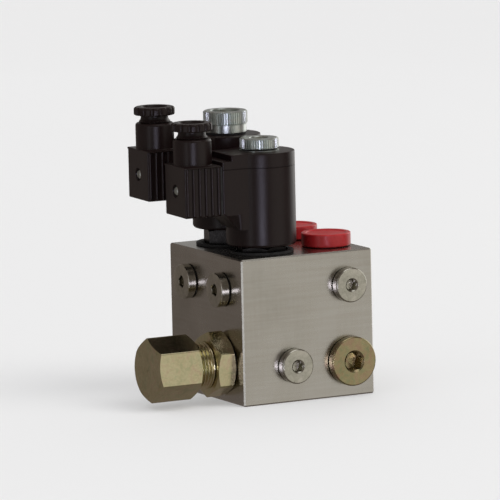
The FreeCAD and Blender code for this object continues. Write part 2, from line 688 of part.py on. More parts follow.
def connector_screw():
    """Slotted central screw that holds the connector to the coil."""
    mid = (CONN_BOTTOM + CONN_TOP) / 2
    length = TERMINAL_X + SCREW_REACH - (CONN_FACE_X + 1.5)
    body = turned([(0, 0), (SCREW_R, 0), (SCREW_R, length), (SCREW_HEAD_R, length),
                   (SCREW_HEAD_R, length + 0.7), (SCREW_HEAD_R - 0.5, length + 1.2), (0, length + 1.2)])
    body = body.cut(block_of(-4, 4, -0.35, 0.35, length + 0.5, length + 2))
    return facing(body, (TERMINAL_X + SCREW_REACH, 0, mid), (-1, 0, 0))


def gland_parts():
    """Rubber grommet and washer under the gland nut."""
    centre = Vector((CONN_FACE_X + CONN_REAR_X) / 2, 0, 0)
    foot = CONN_TOP + GLAND_SHELF
    r = GLAND_THREAD_R - 0.1
    lip_r = CABLE_R - 0.5
    grommet = turned([(lip_r, foot), (r, foot), (r, foot + 4), (r - 1, foot + 5), (lip_r, foot + 5)])
    washer = ring(r, CABLE_R, foot + 5.05, foot + 6.05)
    return grommet.translated(centre), washer.translated(centre)


def gland_nut():
    """Fluted gland nut, hollow for the cable."""
    foot = CONN_TOP + GLAND_SHELF + 6.2
    seat = CONN_TOP + COLLAR_H + 0.35
    under = CONN_TOP + COLLAR_H + GLAND_NECK
    top = under + GLAND_FLANGE_H
    r = GLAND_FLANGE_R
    body = turned([(CABLE_R, foot), (GLAND_NECK_R, foot), (GLAND_NECK_R, seat), (GLAND_FLARE_R, seat),
                   (GLAND_NECK_R, seat + 1.6), (GLAND_NECK_R, under), (r - 1.2, under),
                   (r, under + 0.6), (r, top - 1.4), (r - 0.5, top - 0.5), (r - 1.6, top),
                   (GLAND_MOUTH_R, top), (CABLE_R, top - 2.5)])
    for i in range(GLAND_FLUTES):
        angle = 2 * math.pi * i / GLAND_FLUTES
        reach = r + 0.55
        x, y = reach * math.cos(angle), reach * math.sin(angle)
        body = body.cut(rod(1.35, under - 1, top + 1, x, y))
    return body.translated(Vector((CONN_FACE_X + CONN_REAR_X) / 2, 0, 0))


# ------------------------------------------------------------------ coil nut
def knurled_blank(radius, z0, z1, count):
    """Straight-knurled disc with chamfered ends."""
    points = []
    root = radius - KNURL_DEPTH
    for i in range(count):
        for part, r in ((0.0, radius), (0.35, radius), (0.5, root), (0.85, root)):
            a = 2 * math.pi * (i + part) / count
            points.append((r * math.cos(a), r * math.sin(a)))
    c = NUT_CHAMFER
    envelope = turned([(0, z0), (radius - c * 0.5, z0), (radius + 0.1, z0 + c * 0.6), (radius + 0.1, z1 - c),
                       (radius - c, z1), (0, z1)])
    return prism(points, z0, z1).common(envelope)


def coil_nut(spec):
    """Knurled nut on the tube's outer thread, heights from the coil's top."""
    body = knurled_blank(spec["r"], spec["skirt"], spec["top"], spec["knurls"])
    if spec["skirt"] > spec["bottom"]:
        body = body.fuse(rod(spec["skirt_r"], spec["bottom"], spec["skirt"] + 0.1))
    lip = spec["top"] - NUT_LIP
    if spec["mouth"] > NUT_THREAD_R:
        lip = spec["tube_end"] - 0.5
    body = body.cut(rod(NUT_THREAD_R, spec["bottom"] - 1, lip))
    mouth = turned([(0, lip - 1), (spec["mouth"], lip - 1), (spec["mouth"], spec["top"] - 0.5),
                    (spec["mouth"] + 0.5, spec["top"]), (0, spec["top"])])
    if spec["mouth"] > NUT_THREAD_R:
        mouth = mouth.cut(rod(NUT_LIP * 20, lip - 2, lip))
    return body.cut(mouth).removeSplitter()


def nut_seal(spec):
    """Black O-ring between coil and nut, as a flat ring."""
    return ring(spec["skirt_r"] - 0.4, TUBE_R + 0.3, spec["washer"] + 0.1, spec["bottom"] - 0.05)


# ------------------------------------------------------------------ one station
def make_hydraulics(name, station):
    """Everything of one valve that stays on the block or slides in it."""
    save(name + "_base_ring", at_station(base_ring(), station))
    save(name + "_cartridge_body", at_station(cartridge_body(station["lift"]), station))
    save(name + "_cartridge_orings", at_station(cartridge_orings(), station))
    save(name + "_spring_seat", at_station(spring_seat(), station))
    save(name + "_return_spring", at_station(return_spring(), station))
    save(name + "_spool", at_station(spool(), station))
    core_top = armature_top(station) - ARMATURE_L
    save(name + "_push_pin", at_station(rod(PIN_R, SPOOL_TOP, core_top), station))
    save(name + "_pole_piece", at_station(pole_piece(station), station))
    save(name + "_armature_tube", at_station(armature_tube(station), station))
    save(name + "_armature", at_station(armature(station), station))
    save(name + "_override_pin", at_station(override_pin(station), station))


def make_coil(name, station):
    """Coil, plug connector and gland of one valve, turned about the tube."""
    grommet, washer = gland_parts()
    coil = {
        "coil_housing": coil_housing(station["reach"]),
        "coil_bobbin": coil_bobbin(),
        "coil_winding": coil_winding(),
    }
    plug = {
        "coil_terminals": Part.makeCompound(terminal_blades()),
        "connector_gasket": connector_gasket(),
        "connector_housing": connector_housing(),
        "connector_insert": connector_insert(),
        "connector_screw": connector_screw(),
        "gland_grommet": grommet,
        "gland_washer": washer,
        "gland_nut": gland_nut(),
    }
    outward = Vector(-station["reach"], 0, 0)
    plug = {piece: shape.translated(outward) for piece, shape in plug.items()}
    for piece, shape in {**coil, **plug}.items():
        save(name + "_" + piece, at_station(raised(shape, station["lift"]), station, station["turn"]))


def make_coil_nut(name, station):
    """Knurled coil nut with its O-ring, and a washer where there is one."""
    spec = NUTS[station["nut"]]
    top = station["lift"] + COIL_H
    save(name + "_nut_oring", at_station(raised(nut_seal(spec), top), station))
    if spec["washer"]:
        washer = ring(spec["skirt_r"] + 0.8, TUBE_R + 0.2, 0.05, spec["washer"])
        save(name + "_nut_washer", at_station(raised(washer, top), station))
    save(name + "_coil_nut", at_station(raised(coil_nut(spec), top), station))


def main():
    os.makedirs("parts", exist_ok=True)
    save("manifold_block", manifold_block())
    make_plugs()
    make_fitting()
    make_port_caps()
    for name, station in STATIONS.items():
        make_hydraulics(name, station)
        make_coil(name, station)
        make_coil_nut(name, station)


main()
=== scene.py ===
import json
import math

import bmesh
import bpy
from mathutils import Matrix, Vector

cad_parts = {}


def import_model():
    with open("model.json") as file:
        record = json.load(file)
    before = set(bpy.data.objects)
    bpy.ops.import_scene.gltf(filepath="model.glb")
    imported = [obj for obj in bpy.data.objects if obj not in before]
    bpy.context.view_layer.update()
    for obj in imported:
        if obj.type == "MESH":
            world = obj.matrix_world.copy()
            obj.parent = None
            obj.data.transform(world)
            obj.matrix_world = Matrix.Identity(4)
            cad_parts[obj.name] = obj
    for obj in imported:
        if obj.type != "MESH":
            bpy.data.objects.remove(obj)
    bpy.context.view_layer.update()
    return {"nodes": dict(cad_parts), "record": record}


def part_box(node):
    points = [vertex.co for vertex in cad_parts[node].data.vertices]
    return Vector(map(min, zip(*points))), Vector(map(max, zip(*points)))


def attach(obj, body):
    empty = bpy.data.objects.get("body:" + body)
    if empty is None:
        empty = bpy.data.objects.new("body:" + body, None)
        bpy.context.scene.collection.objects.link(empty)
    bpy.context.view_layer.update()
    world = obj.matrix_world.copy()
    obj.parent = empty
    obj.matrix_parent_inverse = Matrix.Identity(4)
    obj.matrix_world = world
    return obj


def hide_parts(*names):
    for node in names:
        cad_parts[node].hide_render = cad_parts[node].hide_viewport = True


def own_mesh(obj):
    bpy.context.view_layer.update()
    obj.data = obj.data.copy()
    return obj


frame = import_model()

MM = 0.001
TAU = 2 * math.pi


# ------------------------------------------------------------------ places, in millimetres
def low(node):
    """Lowest corner of a CAD node."""
    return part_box(node)[0] / MM


def high(node):
    """Highest corner of a CAD node."""
    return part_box(node)[1] / MM


def middle(node):
    """Centre of a CAD node's box."""
    return (low(node) + high(node)) / 2


# ------------------------------------------------------------------ mesh building
def even_angles(count):
    """Equal steps round a full turn."""
    return [TAU * i / count for i in range(count)]


def corner_angles(corners, turn, per_side, close=(0.35, 1.0, 2.0)):
    """Angles round a polygon: even steps on the sides and close ones, in degrees, at each corner."""
    step = 360.0 / corners
    offsets = sorted({-c for c in close} | {0.0} | set(close))
    plain = [step * k / per_side for k in range(1, per_side)]
    plain = [a for a in plain if close[-1] + 0.5 < a < step - close[-1] - 0.5]
    return [math.radians(turn + step * i + a) for i in range(corners) for a in offsets + plain]


def ring(angles, radius, height):
    """One ring of points; radius and height are numbers or functions of the angle."""
    r = radius if callable(radius) else (lambda a: radius)
    z = height if callable(height) else (lambda a: height)
    return [(r(a) * math.cos(a), r(a) * math.sin(a), z(a)) for a in angles]


def rings_at(angles, *points):
    """Several rings from (radius, height) pairs."""
    return [ring(angles, radius, height) for radius, height in points]


def piece(name, skins, material, place=(0, 0, 0), turn=None, sharp=28.0):
    """Mesh object from skins, each a list of point rings with its first and last ring closed or joined."""
    bm = bmesh.new()
    for rings, ends in skins:
        rows = [[bm.verts.new(Vector(p) * MM) for p in points] for points in rings]
        pairs = list(zip(rows, rows[1:]))
        if ends == "loop":
            pairs.append((rows[-1], rows[0]))
        for a, b in pairs:
            for i, j in zip(range(len(a)), [*range(1, len(a)), 0]):
                bm.faces.new((a[i], a[j], b[j], b[i]))
        if ends == "caps":
            bm.faces.new(rows[0][::-1])
            bm.faces.new(rows[-1])
    bmesh.ops.remove_doubles(bm, verts=bm.verts, dist=2e-6)
    bmesh.ops.dissolve_degenerate(bm, edges=bm.edges, dist=2e-6)
    bmesh.ops.recalc_face_normals(bm, faces=bm.faces)
    mesh = bpy.data.meshes.new(name)
    bm.to_mesh(mesh)
    bm.free()
    return finished(name, mesh, material, place, turn, sharp)


def finished(name, mesh, material, place=(0, 0, 0), turn=None, sharp=28.0):
    """Object with smooth shading between sharp edges and one material."""
    mesh.shade_smooth()
    mesh.set_sharp_from_angle(angle=math.radians(sharp))
    mesh.materials.clear()
    mesh.materials.append(material)
    thing = bpy.data.objects.new(name, mesh)
    bpy.context.scene.collection.objects.link(thing)
    rotation = turn if turn is not None else Matrix.Identity(3)
    thing.matrix_world = Matrix.Translation(Vector(place) * MM) @ rotation.to_4x4()
    weighted = thing.modifiers.new("flat faces stay flat", "WEIGHTED_NORMAL")
    weighted.keep_sharp = True
    weighted.weight = 80
    return thing


def lathe(angles, profile):
    """Closed skin of revolution from (radius, height) points."""
    return rings_at(angles, *profile), "loop"


def rounded(profile, radius, steps=3):
    """Profile, a closed list of (r, z), with its corners rounded."""
    out = []
    n = len(profile)
    for i in range(n):
        p, a, b = (Vector(profile[k]) for k in (i, i - 1, (i + 1) % n))
        to_a, to_b = a - p, b - p
        cut = min(radius, to_a.length * 0.45, to_b.length * 0.45)
        start, end = p + to_a.normalized() * cut, p + to_b.normalized() * cut
        for k in range(steps + 1):
            t = k / steps
            out.append(tuple(start * (1 - t) ** 2 + p * 2 * t * (1 - t) + end * t * t))
    return out


def polygon_radius(across_flats, corners, turn, corner_cut=0.0):
    """Radius of a regular polygon as a function of the angle, its corners cut back by a turned edge."""
    half = math.pi / corners
    limit = across_flats / 2 / math.cos(half) - corner_cut

    def radius(angle):
        a = (angle - math.radians(turn)) % (2 * half) - half
        return min(across_flats / 2 / math.cos(a), limit)
    return radius


def facing(normal):
    """Rotation that takes +Z to a direction."""
    return Vector((0, 0, 1)).rotation_difference(Vector(normal)).to_matrix()


def yaw(degrees):
    """Rotation about Z."""
    return Matrix.Rotation(math.radians(degrees), 3, "Z")


# ------------------------------------------------------------------ materials
class Shader:
    """A Principled material with short calls for its nodes."""

    def __init__(self, name, **values):
        self.material = bpy.data.materials.new(name)
        self.material.use_nodes = True
        self.tree = self.material.node_tree
        self.out = self.tree.nodes["Principled BSDF"]
        for key, value in values.items():
            self.out.inputs[key.replace("_", " ")].default_value = value
        self.place = self.node("ShaderNodeTexCoord").outputs["Object"]

    def node(self, kind, inputs=None, **settings):
        made = self.tree.nodes.new(kind)
        for key, value in settings.items():
            setattr(made, key, value)
        for key, value in (inputs or {}).items():
            if isinstance(value, bpy.types.NodeSocket):
                self.tree.links.new(value, made.inputs[key])
            else:
                made.inputs[key].default_value = value
        return made

    def noise(self, scale, detail=3.0, roughness=0.55, stretch=None, distortion=0.0):
        """Noise value; stretch multiplies the coordinates, so a small number draws it out."""
        where = self.place
        if stretch:
            where = self.node("ShaderNodeMapping", {"Vector": where, "Scale": stretch}).outputs["Vector"]
        made = self.node("ShaderNodeTexNoise", {"Vector": where, "Scale": scale, "Detail": detail,
                                                "Roughness": roughness, "Distortion": distortion})
        return made.outputs["Fac"]

    def ramp(self, value, stops):
        """Colour ramp from (position, colour) stops."""
        made = self.node("ShaderNodeValToRGB", {"Fac": value})
        points = made.color_ramp.elements
        for k, (position, colour) in enumerate(stops):
            point = points[k] if k < 2 else points.new(position)
            point.position = position
            point.color = (*colour, 1.0)
        return made.outputs["Color"]

    def spread(self, value, low_in, high_in, low_out, high_out):
        """Map range, clamped."""
        made = self.node("ShaderNodeMapRange", {"Value": value, "From Min": low_in, "From Max": high_in,
                                                "To Min": low_out, "To Max": high_out})
        return made.outputs["Result"]

    def blend(self, a, b, factor, mode="MIX"):
        """Mix of two colours."""
        made = self.node("ShaderNodeMix", data_type="RGBA", blend_type=mode)
        for index, value in ((0, factor), (6, a), (7, b)):
            if isinstance(value, bpy.types.NodeSocket):
                self.tree.links.new(value, made.inputs[index])
            else:
                made.inputs[index].default_value = value if index == 0 else (*value, 1.0)
        return made.outputs[2]

    def maths(self, operation, a, b=0.0):
        made = self.node("ShaderNodeMath", operation=operation)
        for index, value in ((0, a), (1, b)):
            if isinstance(value, bpy.types.NodeSocket):
                self.tree.links.new(value, made.inputs[index])
            else:
                made.inputs[index].default_value = value
        return made.outputs[0]

    def rings(self, spacing, distortion=0.0):
        """Turning grooves round the piece's own Z axis."""
        made = self.node("ShaderNodeTexWave", {"Vector": self.place, "Scale": 0.314 / (spacing * MM),
                                               "Distortion": distortion, "Detail": 2.0},
                         wave_type="RINGS", rings_direction="Z")
        return made.outputs["Fac"]

    def bump(self, height, distance, strength=1.0, under=None):
        inputs = {"Height": height, "Distance": distance * MM, "Strength": strength}
        if under is not None:
            inputs["Normal"] = under
        return self.node("ShaderNodeBump", inputs).outputs["Normal"]

    def finish(self, **sockets):
        """Joins outputs to the shader and returns the material."""
        for key, value in sockets.items():
            self.tree.links.new(value, self.out.inputs[key.replace("_", " ")])
        return self.material


def block_steel():
    """Ground and plated steel: cloudy warm grey with faint upright and level streaks."""
    s = Shader("block_steel", Metallic=1.0)
    clouds = s.noise(20, 4, 0.55, distortion=0.8)
    fine = s.noise(420, 4, 0.6)
    level = s.noise(60, 4, 0.6, stretch=(0.35, 0.35, 9))
    upright = s.noise(60, 4, 0.6, stretch=(9, 9, 0.35))
    base = s.ramp(clouds, [(0.3, (0.44, 0.435, 0.40)), (0.5, (0.53, 0.52, 0.485)),
                           (0.72, (0.62, 0.615, 0.59))])
    base = s.blend(base, s.ramp(level, [(0.35, (0.42, 0.37, 0.31)), (0.65, (0.62, 0.615, 0.58))]), 0.2)
    base = s.blend(base, s.ramp(upright, [(0.4, (0.50, 0.46, 0.40)), (0.6, (0.60, 0.59, 0.55))]), 0.1)
    base = s.blend(base, s.ramp(fine, [(0.3, (0.45, 0.42, 0.36)), (0.7, (0.66, 0.64, 0.58))]), 0.1)
    rough = s.spread(s.maths("ADD", clouds, s.maths("MULTIPLY", fine, 0.5)), 0.5, 1.0, 0.2, 0.33)
    normal = s.bump(s.noise(900, 3, 0.6, stretch=(1, 1, 0.3)), 0.01, 0.16)
    normal = s.bump(s.noise(45, 2), 0.25, 0.10, normal)
    return s.finish(Base_Color=base, Roughness=rough, Normal=normal)


def plated_steel(name, dark, light, tint, rough, tint_amount=0.25):
    """Turned and plated steel: grooves round the piece's axis, tinted clouds and small marks."""
    s = Shader(name, Metallic=1.0)
    clouds = s.noise(110, 4, 0.6, distortion=0.5)
    marks = s.noise(700, 4, 0.65)
    base = s.ramp(clouds, [(0.32, dark), (0.68, light)])
    base = s.blend(base, s.ramp(s.noise(160, 3, 0.5, distortion=1.5), tint), tint_amount)
    base = s.blend(base, s.ramp(marks, [(0.35, tuple(0.8 * c for c in dark)), (0.65, light)]), 0.25)
    roughness = s.spread(marks, 0.3, 0.7, rough * 0.8, rough * 1.25)
    normal = s.bump(s.rings(0.35, 1.0), 0.02, 0.25)
    normal = s.bump(marks, 0.03, 0.25, normal)
    return s.finish(Base_Color=base, Roughness=roughness, Normal=normal)


def zinc_plug():
    """Clear zinc on a turned plug."""
    return plated_steel("zinc_plug", (0.38, 0.37, 0.32), (0.66, 0.64, 0.56),
                        [(0.35, (0.40, 0.42, 0.34)), (0.65, (0.66, 0.63, 0.58))], 0.2, tint_amount=0.35)


def yellow_zinc():
    """Yellow chromate: olive gold with green and pink interference tints."""
    return plated_steel("yellow_zinc", (0.52, 0.46, 0.27), (0.72, 0.67, 0.44),
                        [(0.30, (0.46, 0.52, 0.31)), (0.5, (0.70, 0.64, 0.40)), (0.70, (0.70, 0.50, 0.38))],
                        0.2, tint_amount=0.5)


def dark_chromate():
    """Thicker yellow chromate, as on the large plug."""
    return plated_steel("dark_chromate", (0.30, 0.25, 0.14), (0.46, 0.40, 0.24),
                        [(0.32, (0.26, 0.34, 0.18)), (0.5, (0.44, 0.38, 0.20)), (0.68, (0.48, 0.27, 0.20))],
                        0.24, tint_amount=0.55)


def bright_zinc():
    """Bright zinc with a cool cast, for the knurled nuts."""
    return plated_steel("bright_zinc", (0.56, 0.61, 0.60), (0.74, 0.78, 0.76),
                        [(0.35, (0.50, 0.62, 0.59)), (0.65, (0.72, 0.75, 0.68))], 0.32, tint_amount=0.35)


def inner_steel():
    return plated_steel("inner_steel", (0.52, 0.51, 0.48), (0.66, 0.65, 0.62),
                        [(0.35, (0.55, 0.55, 0.52)), (0.65, (0.68, 0.66, 0.62))], 0.22)


def black_steel():
    """Blackened steel, oily satin, with steel showing through in specks."""
    s = Shader("black_steel", Metallic=0.75)
    specks = s.noise(900, 4, 0.7)
    base = s.ramp(s.noise(180, 4), [(0.35, (0.012, 0.011, 0.012)), (0.7, (0.03, 0.028, 0.029))])
    base = s.blend(base, (0.30, 0.29, 0.27), s.spread(specks, 0.68, 0.78, 0.0, 0.6))
    rough = s.spread(specks, 0.3, 0.7, 0.24, 0.4)
    return s.finish(Base_Color=base, Roughness=rough, Normal=s.bump(specks, 0.02, 0.3))


def warm_metal(name, dark, light, rough):
    """Brass or copper with stains."""
    s = Shader(name, Metallic=1.0)
    clouds = s.noise(200, 4, 0.6)
    base = s.ramp(clouds, [(0.3, dark), (0.7, light)])
    return s.finish(Base_Color=base, Roughness=s.spread(clouds, 0.3, 0.7, rough, rough * 1.6),
                    Normal=s.bump(s.noise(900, 3), 0.02, 0.3))


def moulded(name, dark, light, rough, grain=0.03):
    """Black moulded plastic: spark-eroded grain, slow waviness from shrinkage, cloudy tone and dust."""
    s = Shader(name, Specular_IOR_Level=0.3)
    grains = s.noise(1500, 3, 0.6)
    clouds = s.noise(90, 4, 0.6, stretch=(1, 1, 0.4))
    base = s.ramp(clouds, [(0.3, dark), (0.7, light)])
    dust = s.spread(s.noise(2600, 2, 0.5), 0.72, 0.8, 0.0, 0.35)
    base = s.blend(base, (0.16, 0.15, 0.15), dust)
    roughness = s.spread(s.maths("ADD", s.maths("MULTIPLY", clouds, 0.6), s.maths("MULTIPLY", grains, 0.4)),
                         0.35, 0.65, rough * 0.86, rough * 1.16)
    normal = s.bump(s.noise(55, 2), 0.06, 0.5)
    normal = s.bump(grains, grain, 0.35, normal)
    return s.finish(Base_Color=base, Roughness=roughness, Normal=normal)


def red_plastic():
    """Soft red polyethylene: slight glow inside, scuffs on the surface."""
    s = Shader("red_plastic", Subsurface_Weight=0.2, Subsurface_Scale=0.002,
               Subsurface_Radius=(1.0, 0.25, 0.15))
    clouds = s.noise(120, 4, 0.6)
    scuffs = s.noise(500, 5, 0.65, stretch=(1, 4, 1))
    base = s.ramp(clouds, [(0.3, (0.36, 0.010, 0.014)), (0.7, (0.47, 0.022, 0.026))])
    base = s.blend(base, (0.62, 0.10, 0.11), s.spread(scuffs, 0.62, 0.74, 0.0, 0.35))
    rough = s.spread(scuffs, 0.3, 0.7, 0.26, 0.42)
    normal = s.bump(s.noise(60, 2), 0.12, 0.35)
    normal = s.bump(scuffs, 0.02, 0.3, normal)
    return s.finish(Base_Color=base, Roughness=rough, Normal=normal)


def seal_rubber():
    """Dull black rubber with mould bloom."""
    s = Shader("seal_rubber", Specular_IOR_Level=0.35)
    bloom = s.noise(240, 5, 0.65)
    base = s.ramp(bloom, [(0.35, (0.010, 0.010, 0.011)), (0.75, (0.032, 0.031, 0.032))])
    return s.finish(Base_Color=base, Roughness=s.spread(bloom, 0.3, 0.7, 0.5, 0.72),
                    Normal=s.bump(s.noise(1200, 3), 0.03, 0.4))


MATERIALS = {
    "block_steel": block_steel(),
    "zinc_plug": zinc_plug(),
    "yellow_zinc": yellow_zinc(),
    "bright_zinc": bright_zinc(),
    "inner_steel": inner_steel(),
    "black_steel": black_steel(),
    "red_plastic": red_plastic(),
    "seal_rubber": seal_rubber(),
    "brass_pin": warm_metal("brass_pin", (0.46, 0.33, 0.15), (0.66, 0.50, 0.26), 0.22),
    "copper_wire": warm_metal("copper_wire", (0.45, 0.17, 0.08), (0.66, 0.30, 0.16), 0.25),
    "coil_plastic": moulded("coil_plastic", (0.0088, 0.0040, 0.0040), (0.0115, 0.0058, 0.0058), 0.33,
                            grain=0.06),
    "connector_plastic": moulded("connector_plastic", (0.0092, 0.0046, 0.0043),
                                 (0.0120, 0.0064, 0.0060), 0.33),
    "inner_plastic": moulded("inner_plastic", (0.05, 0.05, 0.05), (0.10, 0.10, 0.10), 0.45),
}


def made(thing, body, slot, *nodes):
    """Parents a new piece to its body's empty and hides the CAD nodes it replaces."""
    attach(thing, body)
    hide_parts(*nodes)
    return thing


# ------------------------------------------------------------------ gallery plugs
SMALL_PLUG = {"head": 9.5, "seal": 0.6, "face": 5.4, "thread": 6.5, "length": 10.0, "socket": 6.0}
PLUG_TURN = 12
FRONT_UPPER_X = 24.5
FRONT_LOWER = (-9.5, 20.0)
LEFT_PLUG_Y = 19.6
LARGE_PLUG = {"head": 13.5, "seal": 0.6, "face": 5.1, "thread": 10.4, "length": 14.0, "socket": 10.0}


def thread_rings(angles, radius, depth, pitch, z0, z1):
    """Rings that rise in a real helix, fading out at both ends."""
    steps = max(2, int((z1 - z0) / pitch * 10))

    def cut(angle, z):
        phase = (z / pitch - angle / TAU) % 1.0
        flank = min(1.0, 2.6 * abs(phase - 0.5))
        fade = min(1.0, (z - z0) / pitch, (z1 - z) / pitch)
        return radius - depth * (1 - flank) * fade
    heights = [z0 + (z1 - z0) * k / steps for k in range(steps + 1)]
    return [ring(angles, (lambda a, z=z: cut(a, z)), z) for z in heights]


def gallery_plug(name, spec, place, normal, material):
    """Internal-hex plug: rounded head, turned face, chamfered socket, threaded shank."""
    angles = corner_angles(6, PLUG_TURN, 16)
    key = polygon_radius(spec["socket"], 6, PLUG_TURN, 0.12)
    r, top = spec["head"], spec["face"]
    lead_r = spec["socket"] / math.sqrt(3) + 0.3
    rings = rings_at(angles, (0.4, -spec["length"]), (spec["thread"] - 1.2, -spec["length"]))
    rings += thread_rings(angles, spec["thread"], 0.7, 1.4, 1.0 - spec["length"], -0.4)
    rings += rings_at(
        angles, (spec["thread"], spec["seal"] - 0.1), (spec["thread"], spec["seal"]),
        (r - 0.35, spec["seal"]), (r - 0.1, spec["seal"] + 0.08), (r, spec["seal"] + 0.3),
        (r, top - 0.75), (r - 0.12, top - 0.5),
        (r - 0.5, top - 0.12), (r - 0.8, top), (lead_r + 0.1, top), (lead_r, top - 0.06),
        (key, lambda a: top - 0.06 - (lead_r - key(a)) * 0.9))
    deep = top - spec["socket"] * 0.85
    rings += rings_at(angles, (key, deep), (lambda a: key(a) - 0.5, deep - 0.15), (0.3, deep - 0.9))
    return piece(name, [(rings, "caps")], material, place, facing(normal), sharp=24)


# ------------------------------------------------------------------ the whole object
block_low = low("manifold_block")


def build_plugs():
    """Four small plugs and the large one, where the CAD solids are."""
    left, front = block_low.x, block_low.y
    small, large = MATERIALS["zinc_plug"], dark_chromate()
    upper_z = high("small_gallery_plugs").z - SMALL_PLUG["head"]
    spots = {
        "plug_front_upper": ((FRONT_UPPER_X, front, upper_z), (0, -1, 0)),
        "plug_front_lower": ((FRONT_LOWER[0], front, FRONT_LOWER[1]), (0, -1, 0)),
        "plug_left_near": ((left, -LEFT_PLUG_Y, upper_z), (-1, 0, 0)),
        "plug_left_far": ((left, LEFT_PLUG_Y, upper_z), (-1, 0, 0)),
    }
    for name, (place, normal) in spots.items():
        plug = gallery_plug(name, SMALL_PLUG, place, normal, small)
        made(plug, "manifold", "zinc_plug", "small_gallery_plugs")
    mid = middle("large_gallery_plug")
    supply = gallery_plug("plug_supply", LARGE_PLUG, (mid.x, front, mid.z), (0, -1, 0), large)
    made(supply, "manifold", "yellow_zinc", "large_gallery_plug")


# ------------------------------------------------------------------ valve stations
COIL = {"r": 19.1, "bore": 7.03, "foot": 1.8, "seam_drop": 7.7, "ledge_drop": 3.3, "box_half": 13.9,
        "box_bottom": 19.2, "wall": 22.8, "face": 28.1}
PLUG = {"rear": 29.1, "face": 50.1, "bottom": 18.7, "top": 46.2, "half": 13.3, "plate_half": 14.3,
        "rib": 1.0, "rib_half": 0.95, "pitch": 3.64, "first": 1.5, "ribs": 6, "collar": 10.5,
        "collar_h": 14.3, "bore": 7.58, "recess": 3.3}
COLLAR_ROUND = 1.6
GLAND = {"neck": 4.0, "neck_r": 7.5, "flare": 8.6, "rim": 11.2, "rim_h": 4.6, "mouth": 7.0, "cable": 5.0,
         "flutes": 15}
STATIONS = {
    "front": {"reach": 0.0, "bottom": 1.2, "skirt": 1.2, "top": 6.9, "r": 10.6, "skirt_r": 10.0,
              "mouth": 5.0, "lip": 5.7, "knurls": 48},
    "rear": {"reach": 2.6, "bottom": 0.95, "skirt": 5.6, "top": 12.8, "r": 12.15, "skirt_r": 11.5,
             "mouth": 7.75, "lip": 9.3, "knurls": 56},
}


SPRING = {"turns": 5, "half": 0.4, "wire": 0.37, "travel": 3.0}


def station_place(valve):
    """Foot of a valve's coil on its axis, and the coil's turn in degrees."""
    axis, gland = middle(valve + "_base_ring"), middle(valve + "_gland_washer")
    turn = math.degrees(math.atan2(axis.y - gland.y, axis.x - gland.x))
    return Vector((axis.x, axis.y, low(valve + "_coil_housing").z)), turn


def coil_outline(reach, inset=0.0):
    """Radius of barrel and terminal box together, seen from above, as a function of the angle."""
    barrel = COIL["r"] - inset
    half = COIL["box_half"] - inset

    def radius(angle):
        along, across = -math.cos(angle), abs(math.sin(angle))
        if reach <= 0 or along <= 0.01:
            return barrel
        side = half / max(across, 0.001)
        face = (reach - inset) / along
        box = (side ** -50 + face ** -50) ** -0.02
        return max(barrel, box)
    return radius


def coil_shell(valve, place, turn):
    """Moulded coil: barrel, terminal box with its sloped underside, ledge, seam and rounded foot."""
    face = COIL["face"] + STATIONS[valve]["reach"]
    height = high(valve + "_coil_housing").z - place.z
    ledge, seam, box = height - COIL["ledge_drop"], height - COIL["seam_drop"], COIL["box_bottom"]
    marks = [math.atan2(COIL["box_half"], face), math.asin(COIL["box_half"] / COIL["r"]),
             math.atan2(COIL["box_half"], COIL["wall"])]
    near = [k * 0.006 for k in range(-5, 6)]
    angles = sorted({round(a % TAU, 5) for a in even_angles(180)}
                    | {round(math.pi + s * (m + d), 5) for m in marks for d in near for s in (-1, 1)})
    rings, foot = [], COIL["foot"]
    for k in range(7):
        a = math.pi / 2 * k / 6
        rings.append(ring(angles, COIL["r"] - foot * (1 - math.sin(a)), foot * (1 - math.cos(a))))
    rings.append(ring(angles, COIL["r"], box - 9))
    for reach, z in ((17.8, box - 9), (18.1, box - 8.9), (face - 1.5, box - 0.5), (face - 0.5, box + 0.2),
                     (face, box + 1), (face, seam - 0.28)):
        rings.append(ring(angles, coil_outline(reach), z))
    for inset, z in ((0.28, seam - 0.1), (0.28, seam + 0.1), (0.0, seam + 0.28)):
        rings.append(ring(angles, coil_outline(face, inset), z))
    for reach, z in ((face, ledge - 0.7), (face - 0.2, ledge - 0.2), (face - 0.7, ledge),
                     (COIL["wall"], ledge), (COIL["wall"], height - 0.6)):
        rings.append(ring(angles, coil_outline(reach), z))
    rings += rings_at(angles, (coil_outline(COIL["wall"], 0.18), height - 0.18),
                      (coil_outline(COIL["wall"], 0.6), height), (COIL["bore"] + 0.5, height),
                      (COIL["bore"], height - 0.5), (COIL["bore"], 0))
    return piece(valve + "_coil_shell", [(rings, "loop")], MATERIALS["coil_plastic"], place, yaw(turn))


def plug_outline(half, rib, inset, z):
    """Points of the connector's outline at one height: rounded face corners and half-round ribs."""
    side = []
    rear, face = -PLUG["rear"], -PLUG["face"] + inset
    side.append((rear, half - inset))
    for k in reversed(range(PLUG["ribs"])):
        x = -PLUG["face"] + PLUG["first"] + k * PLUG["pitch"]
        for t in (1.0, 0.96, 0.85, 0.62, 0.32, 0.0, -0.32, -0.62, -0.85, -0.96, -1.0):
            side.append((x + t * PLUG["rib_half"], half - inset + rib * math.sqrt(1 - t * t)))
    corner = 0.5
    for k in range(5):
        a = math.pi / 2 * k / 4
        side.append((face + corner * (1 - math.sin(a)), half - inset - corner * (1 - math.cos(a))))
    return [(x, y, z) for x, y in side] + [(x, -y, z) for x, y in reversed(side)]


